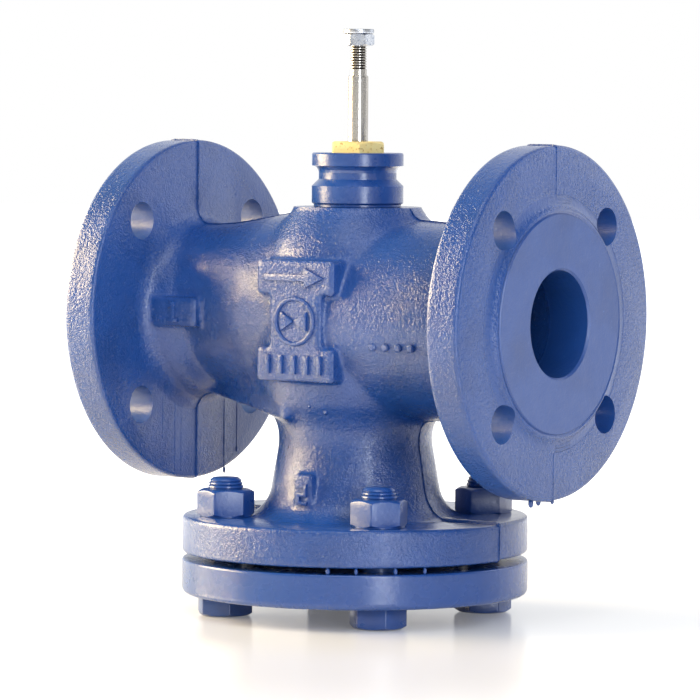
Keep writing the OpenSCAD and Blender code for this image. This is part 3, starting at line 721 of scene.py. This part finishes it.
def padMarks():
    m, p = markForms, padForms
    reach = p["reach"]
    marks = []

    def raised(name, outline, x, z, reach):
        shape = [(x + a, z + b) for a, b in outline]
        mark = prismPiece(name, shape, -(reach + m["proud"]), m["sunk"] - reach, "Y")
        roundEdges(mark, m["edge"], 2)
        marks.append(mark)

    def peg(name, outline, steps, x, z):
        lie = Matrix.Translation((x * mm, 0, z * mm)) @ Matrix.Rotation(math.radians(90), 4, "X")
        marks.append(turnPiece(name, outline, steps, lie))

    raised("arrow", m["arrow"], 0, (p["top"][2] + p["top"][3]) / 2, reach)
    signHeight = (p["low"][3] + p["top"][2]) / 2
    raised("signLeft", m["signLeft"], 0, signHeight, reach)
    raised("signRight", m["signRight"], 0, signHeight, reach)
    dropSelection()
    bpy.ops.mesh.primitive_torus_add(location=(0, -reach * mm, signHeight * mm),
                                     rotation=(math.radians(90), 0, 0),
                                     major_radius=m["ringRadius"] * mm, minor_radius=m["ringThick"] * mm,
                                     major_segments=m["ringSteps"][0], minor_segments=m["ringSteps"][1])
    ring = named("signRing")
    settle(ring)
    marks.append(ring)
    for x in m["barPlaces"]:
        raised("bar", m["bar"], x, (p["low"][2] + p["low"][3]) / 2, reach)
    portMiddle = [(p["portPad"][i] + p["portPad"][i + 1]) / 2 for i in (0, 2)]
    raised("one", m["one"], *portMiddle, p["portReach"])
    raised("two", m["two"], 0, m["twoHeight"], p["lowReach"])
    for x, z in m["dots"]:
        peg("dot", m["dot"], m["dotSteps"], x, z)
    peg("nub", m["nub"], m["nubSteps"], *m["nubPlace"])
    for x, z, outline in m["pimples"]:
        peg("pimple", outline, m["pimpleSteps"], x, z)
    return joined("marks", marks)


halvesOverlap = 0.02      # so that the two halves of the mould join


# cuts a closed form along the mould's parting plane and sets its back half off by shift, in mm
def splitShift(piece, shift):
    pick(piece)
    bpy.ops.object.duplicate()
    back = bpy.context.object
    cutAway(piece, (0, 0, 0), (0, 1, 0))
    cutAway(back, (0, -halvesOverlap, 0), (0, -1, 0))
    back.location = [a * mm for a in shift]
    settle(back)
    return back


def castBody():
    c = castForms
    blend = castBlend()
    roughen(blend, *c["swell"])
    back = splitShift(blend, c["shift"])
    cast = joined("castBody", [blend, back, frontPads()])
    voxelBlend(cast, c["fineVoxel"], c["fineTimes"])
    roughen(cast, *c["skin"])
    return cast


body = castBody()
print("casting blended", len(body.data.polygons))


# the three flanges, each with its own small step at the parting plane

flangeForms = {
    "steps": 240,
    "radius": 82.4,
    "edge": 1.7,
    "rows": 9,
    "sideBack": 95.0,
    "sideFace": 112.0,
    "lowRim": 29.5,
    "lowTop": 47.0,
    "shifts": ((0.35, 0, 0.3), (0.05, 0, 0.3), (0, 0, 0.9)),
}


def discOutline(low, high):
    f = flangeForms
    radius, edge = f["radius"], f["edge"]

    def turnIn(degrees):
        return edge * (1 - math.sin(math.radians(degrees)))

    under = [(radius - turnIn(a), low + turnIn(90 - a)) for a in (0, 30, 60, 90)]
    over = [(radius - turnIn(a), high - turnIn(90 - a)) for a in (90, 60, 30, 0)]
    wall = [(radius, low + edge + (high - low - 2 * edge) * i / f["rows"]) for i in range(1, f["rows"])]
    return under + wall + over


def flangeSet():
    f = flangeForms
    side = discOutline(f["sideBack"], f["sideFace"])
    pieces = [turnPiece("flangeOne", side, f["steps"], toPortOne),
              turnPiece("flangeTwo", side, f["steps"], toPortTwo),
              turnPiece("flangeLow", discOutline(f["lowRim"], f["lowTop"]), f["steps"])]
    for flange, shift in zip(pieces, f["shifts"]):
        combine(flange, splitShift(flange, shift), "UNION")
    return joined("flanges", pieces)


combine(body, flangeSet(), "UNION")
print("flanges joined", len(body.data.polygons))


# ragged seam that the two halves of the mould left all round the casting

ridgeForms = {
    "slice": 3,
    "proud": 0.5,
    "voxel": 0.8,
    "uneven": (2.2, 0.5),        # size and height of the unevenness outwards
    "waver": (1.5, 0.8),         # and sideways
    "low": -0.25,
    "high": 0.6,
    "face": 112.15,
}


def partingRidge(source):
    pick(source)
    bpy.ops.object.duplicate()
    ridge = named("partingRidge")
    r = ridgeForms
    cutAway(ridge, (0, r["slice"], 0), (0, 1, 0))
    cutAway(ridge, (0, -r["slice"], 0), (0, -1, 0))
    bpy.ops.object.mode_set(mode="EDIT")
    bpy.ops.mesh.select_all(action="SELECT")
    bpy.ops.transform.shrink_fatten(value=r["proud"] * mm)
    bpy.ops.object.mode_set(mode="OBJECT")
    voxelBlend(ridge, r["voxel"], 1)
    roughen(ridge, *r["uneven"])
    cutAway(ridge, (0, r["high"], 0), (0, 1, 0))
    cutAway(ridge, (0, r["low"], 0), (0, -1, 0))
    cutAway(ridge, (r["face"], 0, 0), (1, 0, 0))
    roughen(ridge, *r["waver"], "Y")
    return ridge


combine(body, partingRidge(body), "UNION")
combine(body, padMarks(), "UNION")
print("ridge and marks", len(body.data.polygons))


# paint that ran down the back of the left flange and dripped off the right one

runForms = {
    # y, top, low end and thickness of each run
    "runs": [(22.397, 97.547, 61.446, 0.65), (32.933, 97.010, 71.202, 0.6), (-26.925, 102.940, 80.612, 0.4),
             (-17.167, 100.518, 62.501, 0.4), (-12.349, 93.446, 64.146, 0.3)],
    "runFlat": 0.6,
    "beadSize": 1.5,
    "beadLong": 1.7,
    # x, y and size of each drop
    "drops": [(108.5, -14, 1.3), (104, -7.5, 1.0), (106.5, -4.5, 1.2), (101.5, 4, 1.0), (110, 2, 0.9)],
    "dropLong": 1.6,
}


def paintRuns():
    r, f = runForms, flangeForms
    flat = r["runFlat"]
    pieces = []
    for y, top, low, thick in r["runs"]:
        back = (f["shifts"][0][0] if y > 0 else 0) - f["sideBack"]
        half = (top - low) / (2 * thick)
        run = ballPiece("paintRun", thick, (flat, 1, half), (back, y, (top + low) / 2), 24)
        bead = ballPiece("paintBead", thick * r["beadSize"], (flat, 1, r["beadLong"]),
                         (back, y, low + thick))
        pieces.append(combine(run, bead, "UNION"))
    for x, y, size in r["drops"]:
        place = (x, y, axisHeight - f["radius"])
        pieces.append(ballPiece("paintDrop", size, (1, 1, r["dropLong"]), place))
    return joined("paintRuns", pieces)


combine(body, paintRuns(), "UNION")
print("paint runs", len(body.data.polygons))


# bolt holes and the rooms inside; outlines are radius and height, along the port's own axis

holeForms = {
    "radius": 9.0,
    "circle": 62.5,
    "turn": 45,
    "steps": 48,
    "sideReach": (75, 116),
    "lowReach": (26, 48),
}

roomForms = {
    "entry": [(30.0, 20), (30.0, 134.0)],
    "sleeve": [(27.05, 130), (27.05, 150)],
    "spigot": [(18.05, 150), (18.05, 200)],
    "dome": [(39, 146), (38, 156.4), (36.3, 162.9), (33.5, 168.5), (29.8, 173.4), (25.7, 177.4),
             (22.1, 180.6)],
    "wayOne": [(25, 79), (25, 114), (26.2, 115.2), (26.2, 118)],
    "wayTwo": [(38, 36), (38, 72), (25, 93), (25, 114), (26.2, 115.2), (26.2, 118)],
    "pocketOne": [(31, 50), (31, 80)],
    "pocketRise": 5,
    "lowWay": [(14, 20), (14, 58)],
    "lowWayDrop": 23,
    "roomTwo": [(38, -1), (38, 37)],
    "roomTwoBox": ((-5, -40, 146), (40, 40, 190)),
    "sideWay": [(12, 20), (12, 50.5)],
    "sideWayDrop": 20.5,
    "sideWayAside": 11,
    "smallSteps": 48,
}


def holePlace(i):
    turn = math.radians(holeForms["turn"] + 90 * i)
    reach = holeForms["circle"] * mm
    return Matrix.Translation((reach * math.cos(turn), reach * math.sin(turn), 0))


def holeRing(reach, lie):
    h = holeForms
    outline = [(h["radius"], height) for height in reach]
    return joined("holes", [turnPiece("hole", outline, h["steps"], lie @ holePlace(i)) for i in range(4)])


def flowWays():
    r = roomForms

    def besideAxis(aside, up):
        return Matrix.Translation((0, aside * mm, up * mm)) @ toPortOne

    ways = turnPiece("entry", r["entry"])
    parts = [turnPiece("sleeve", r["sleeve"]),
             turnPiece("spigot", r["spigot"]),
             turnPiece("dome", r["dome"]),
             turnPiece("wayOne", r["wayOne"], lie=toPortOne),
             turnPiece("wayTwo", r["wayTwo"], lie=toPortTwo),
             turnPiece("pocketOne", r["pocketOne"], lie=besideAxis(0, r["pocketRise"])),
             turnPiece("lowWay", r["lowWay"], r["smallSteps"], besideAxis(0, -r["lowWayDrop"]))]
    upper = turnPiece("roomTwo", r["roomTwo"], lie=toPortTwo)
    parts.append(combine(upper, blockPiece("over", *r["roomTwoBox"]), "INTERSECT"))
    for side in (-1, 1):
        lie = besideAxis(side * r["sideWayAside"], -r["sideWayDrop"])
        parts.append(turnPiece("sideWay", r["sideWay"], r["smallSteps"], lie))
    for part in parts:
        combine(ways, part, "UNION")
    combine(ways, holeRing(holeForms["sideReach"], toPortOne), "UNION")
    combine(ways, holeRing(holeForms["sideReach"], toPortTwo), "UNION")
    combine(ways, holeRing(holeForms["lowReach"], Matrix.Identity(4)), "UNION")
    return ways


# flat top of the boss, and the raised sealing faces with the soft cast step round them

faceForms = {
    "steps": 200,
    "outline": [(60, 109), (60, 111.7), (58.4, 112.05), (56.6, 112.25), (55.2, 112.7), (54.1, 113.6),
                (53.2, 114.4), (52.5, 114.65), (51.8, 114.35), (51.3, 114.2), (51.0, 114.75), (50.7, 115)],
    "lowOutline": [(50.4, 27.5), (51, 28.1), (51, 35)],
    "bossCut": [(36, 194.0), (36, 205)],
    "faceCut": [(60, 112.0), (60, 120)],
}


def machinedFaces():
    f = faceForms
    trims = [turnPiece("bossTrim", f["bossCut"])]
    faces = [turnPiece("raisedLow", f["lowOutline"], f["steps"])]
    for name, lie in (("One", toPortOne), ("Two", toPortTwo)):
        trims.append(turnPiece("trim" + name, f["faceCut"], lie=lie))
        faces.append(turnPiece("raised" + name, f["outline"], f["steps"], lie))
    combine(body, joined("trims", trims), "DIFFERENCE")
    combine(body, joined("faces", faces), "UNION")


ways = flowWays()
machinedFaces()
combine(body, ways, "DIFFERENCE")
print("body machined", len(body.data.polygons))


# where each finish lies on the casting, in mm along and from the ports' axis

zoneForms = {
    "holeFrom": 94,
    "holeEdge": 0.1,
    "rimFrom": 111,
    "rimBack": (-96, -93),       # the back of the left flange
    "faceRadius": 51.5,
    "faceFrom": 114,
    "boreRadius": 26.6,
    "boreFrom": 90,
    "ledge": (46.5, 48.2),       # the top of the bottom flange
    "square": 0.8,               # how squarely a face has to look along the ports
    "level": 0.9,                # and upwards
}


def finishOf(side):
    z = zoneForms
    middle = side.center / mm
    out = abs(middle.x)
    fromAxis = math.hypot(middle.y, middle.z - axisHeight)
    holeAside = holeForms["circle"] / math.sqrt(2)
    fromHole = math.hypot(abs(middle.y) - holeAside, abs(middle.z - axisHeight) - holeAside)
    onRim = out > z["rimFrom"] or z["rimBack"][0] < middle.x < z["rimBack"][1]
    onFace = fromAxis < z["faceRadius"] and out > z["faceFrom"]
    inBore = fromAxis < z["boreRadius"] and out > z["boreFrom"]
    if out > z["holeFrom"] and fromHole < holeForms["radius"] + z["holeEdge"]:
        return "facePaint"
    if abs(side.normal.x) > z["square"] and onRim and fromAxis > z["faceRadius"]:
        return "markedPaint"
    if onFace or inBore:
        return "facePaint"
    if side.normal.z > z["level"] and z["ledge"][0] < middle.z < z["ledge"][1]:
        return "ledgePaint"
    return "castPaint"


bodyFinishes = ("castPaint", "facePaint", "markedPaint", "ledgePaint")
coat(body, *bodyFinishes)
for side in body.data.polygons:
    side.material_index = bodyFinishes.index(finishOf(side))
smoothByAngle(body, castForms["smooth"])
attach(body, "valve_body")
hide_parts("body")
print("body finished")


# bolts and nuts of the bottom flange

boltForms = {
    "across": 24.0,
    "flatShare": 0.94,           # how wide the turned end is, as a share of the width over the flats
    "cornerDrop": 0.55,
    "clear": 1.0,                # how far the turned outline passes the corners
    "square": 0.01,              # height of the step at an end that isn't turned
    "edge": 0.45,
    "edgeAngle": 25,
    "steps": 48,
    "nutLow": 47.0,
    "nutTop": 60.0,
    "nutTurns": (37, 12, 43, 50),
    "nutBore": [(8.0, 40), (8.0, 70)],
    "collar": [(11.9, 47.0), (12.2, 47.2), (12.2, 47.6), (11.6, 48.1)],
    "collarSteps": 64,
    "headHigh": 10.0,
    "headTurns": (37, 5, 15, 20),
    "shank": [(7.9, 8), (7.9, 60.3), (8.0, 60.6), (8.45, 60.9), (8.3, 61.6), (7.5, 62.1), (8.1, 62.6),
              (7.9, 63.1), (7.1, 63.6), (7.55, 64.1), (7.2, 64.6), (6.6, 65.0), (6.3, 65.3), (5.9, 65.5)],
    "smooth": 32,
}


# hexagon with corners turned off and softened by paint
def hexPiece(name, low, top, turn, lie, topCut):
    b = boltForms
    corner = b["across"] / math.sqrt(3)
    flat = b["across"] / 2 * b["flatShare"]
    fall = (corner - flat) / math.sqrt(3) + b["cornerDrop"]
    outer = corner + b["clear"]
    dropSelection()
    bpy.ops.mesh.primitive_cylinder_add(vertices=6, radius=corner * mm, depth=(top - low) * mm,
                                        location=(0, 0, (top + low) / 2 * mm))
    piece = named(name)
    piece.rotation_euler.z = math.radians(30)          # sets two flats square to x
    settle(piece)
    outline = [(flat, low), (outer, low + fall), (outer, top - (fall if topCut else b["square"])),
               (flat if topCut else outer, top)]
    combine(piece, turnPiece("corners", outline), "INTERSECT")
    roundEdges(piece, b["edge"], 2, b["edgeAngle"])
    piece.matrix_world = lie @ Matrix.Rotation(math.radians(turn), 4, "Z")
    settle(piece)
    return piece


def fastenings():
    b = boltForms
    nuts = []
    bolts = []
    for i in range(4):
        lie = holePlace(i)
        nut = hexPiece("nut", b["nutLow"], b["nutTop"], b["nutTurns"][i], lie, True)
        combine(nut, turnPiece("bore", b["nutBore"], b["steps"], lie), "DIFFERENCE")
        collar = turnPiece("collar", b["collar"], b["collarSteps"], lie)
        combine(collar, turnPiece("bore", b["nutBore"], b["steps"], lie), "DIFFERENCE")
        nuts.append(combine(nut, collar, "UNION"))
        head = hexPiece("head", 0, b["headHigh"], b["headTurns"][i], lie, False)
        bolts.append(combine(head, turnPiece("shank", b["shank"], b["steps"], lie), "UNION"))
    for name, group, node in (("paintedNuts", nuts, "bottom_nuts"),
                              ("paintedBolts", bolts, "bottom_bolts")):
        piece = joined(name, group)
        coat(piece, "boltPaint")
        smoothByAngle(piece, b["smooth"])
        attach(piece, "valve_body")
        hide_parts(node)


fastenings()


# drops of paint that hang across the gap between the two lower flanges

bridgeForms = {
    "drops": ((-64, 1.0), (-54.7, 0.8), (-41.7, 0.9), (-31.5, 0.8)),      # turn and size
    "reach": 80.7,
    "height": 28.0,
    "wide": 1.1,
    "half": 1.7,
    "smooth": 60,
}


def paintBridges():
    b = bridgeForms
    drops = []
    for turn, size in b["drops"]:
        turn = math.radians(turn)
        place = (b["reach"] * math.cos(turn), b["reach"] * math.sin(turn), b["height"])
        drops.append(ballPiece("drop", size, (b["wide"], b["wide"], b["half"] / size), place))
    piece = joined("paintBridges", drops)
    coat(piece, "boltPaint")
    smoothByAngle(piece, b["smooth"])
    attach(piece, "valve_body")


paintBridges()
print("fastenings made")


# white table that fades into a white studio, which is darker on the camera's side

stageForms = {
    "tableSize": 12,
    "tableDrop": 0.0003,
    "tableColour": 0.84,
    "tableRough": 0.18,
    # the table's glow is weak near the valve and full from far out, in metres: a painted shade round the
    # valve
    "near": 0.22,
    "far": 0.75,
    "nearGlow": 0.12,
    "diffuse": 0.56,
    "behind": (-0.5736, 0.8192, 0.05),       # the way to the wall behind the valve
    "wallLevels": (0.25, 0.96),
    "glossDark": 0.07,
}


# camera rays, and rays that see the background in a glossy surface or through glass
def seenDirectly(nodes, links):
    path = nodes.new("ShaderNodeLightPath")
    glossy = path.outputs["Is Glossy Ray"]
    both = mathNode(nodes, links, "ADD", glossy, path.outputs["Is Transmission Ray"])
    return path.outputs["Is Camera Ray"], mathNode(nodes, links, "MINIMUM", both, 1.0)


def blendLevel(nodes, links, factor, low, high):
    mix = nodes.new("ShaderNodeMix")
    links.new(factor, mix.inputs["Factor"])
    for i, value in ((2, low), (3, high)):
        if isinstance(value, (int, float)):
            mix.inputs[i].default_value = value
        else:
            links.new(value, mix.inputs[i])
    return mix.outputs[0]


def vectorNode(nodes, links, operation, source, other=None):
    step = nodes.new("ShaderNodeVectorMath")
    step.operation = operation
    links.new(source, step.inputs[0])
    if other:
        step.inputs[1].default_value = other
    return step.outputs["Value"]


def addTable():
    s = stageForms
    dropSelection()
    bpy.ops.mesh.primitive_plane_add(size=s["tableSize"], location=(0, 0, -s["tableDrop"]))
    floor = named("floor")
    material, nodes, links, shader = startMaterial("whiteTable")
    direct, mirrored = seenDirectly(nodes, links)
    seen = mathNode(nodes, links, "MAXIMUM", direct, mirrored)
    coordinates = nodes.new("ShaderNodeTexCoord")
    length = vectorNode(nodes, links, "LENGTH", coordinates.outputs["Object"])
    # weaker glow close to the valve: a painted shade round it
    fade = rangeNode(nodes, links, length, s["near"], s["far"], s["nearGlow"], 1.0, "SMOOTHSTEP")
    links.new(mathNode(nodes, links, "MULTIPLY", seen, fade), shader.inputs["Emission Strength"])
    shader.inputs["Base Color"].default_value = (*grey(s["tableColour"]), 1)
    shader.inputs["Roughness"].default_value = s["tableRough"]
    shader.inputs["Emission Color"].default_value = (1, 1, 1, 1)
    floor.data.materials.append(material)


def addStudio():
    s = stageForms
    world = bpy.data.worlds.new("studio")
    bpy.context.scene.world = world
    world.use_nodes = True
    nodes = world.node_tree.nodes
    links = world.node_tree.links
    background = nodes["Background"]
    direct, mirrored = seenDirectly(nodes, links)
    coordinates = nodes.new("ShaderNodeTexCoord")
    along = vectorNode(nodes, links, "DOT_PRODUCT", coordinates.outputs["Generated"], s["behind"])
    wall = rangeNode(nodes, links, along, *s["wallLevels"], s["glossDark"], 1.0, "SMOOTHSTEP")
    other = blendLevel(nodes, links, mirrored, s["diffuse"], wall)
    links.new(blendLevel(nodes, links, direct, other, 1.0), background.inputs["Strength"])
    background.inputs["Color"].default_value = (1, 1, 1, 1)


# soft lamps round the valve: turn and rise in degrees, away and size in metres, power in watts

lampForms = {
    "middle": (0, 0, 0.13),
    "lamps": [
        {"name": "key", "turn": -160, "rise": 16, "away": 1.2, "size": (0.96, 0.60), "power": 38,
         "colour": (1.0, 0.77, 0.44)},
        {"name": "strip", "turn": -37, "rise": 17, "away": 1.8, "size": (0.34, 1.25), "power": 14,
         "colour": (0.90, 0.95, 1.0)},
        {"name": "fill", "turn": -64, "rise": 66, "away": 2.0, "size": (1.3, 1.3), "power": 12,
         "colour": (0.93, 0.96, 1.0)},
        {"name": "right", "turn": 62, "rise": 22, "away": 1.8, "size": (1.1, 1.1), "power": 5.5,
         "colour": (0.95, 0.97, 1.0)},
    ],
}


def addLamps():
    for lamp in lampForms["lamps"]:
        turn = math.radians(lamp["turn"])
        rise = math.radians(lamp["rise"])
        way = Vector((math.cos(turn) * math.cos(rise), math.sin(turn) * math.cos(rise), math.sin(rise)))
        place = Vector(lampForms["middle"]) + way * lamp["away"]
        dropSelection()
        bpy.ops.object.light_add(type="AREA", location=place)
        light = bpy.context.object
        light.name = lamp["name"] + "Lamp"
        light.data.shape = "RECTANGLE"
        light.data.size, light.data.size_y = lamp["size"]
        light.data.energy = lamp["power"]
        light.data.color = lamp["colour"]
        light.rotation_euler = way.to_track_quat("Z", "Y").to_euler()


addTable()
addStudio()
addLamps()
bpy.context.scene.view_settings.view_transform = "Standard"
print("stage set")
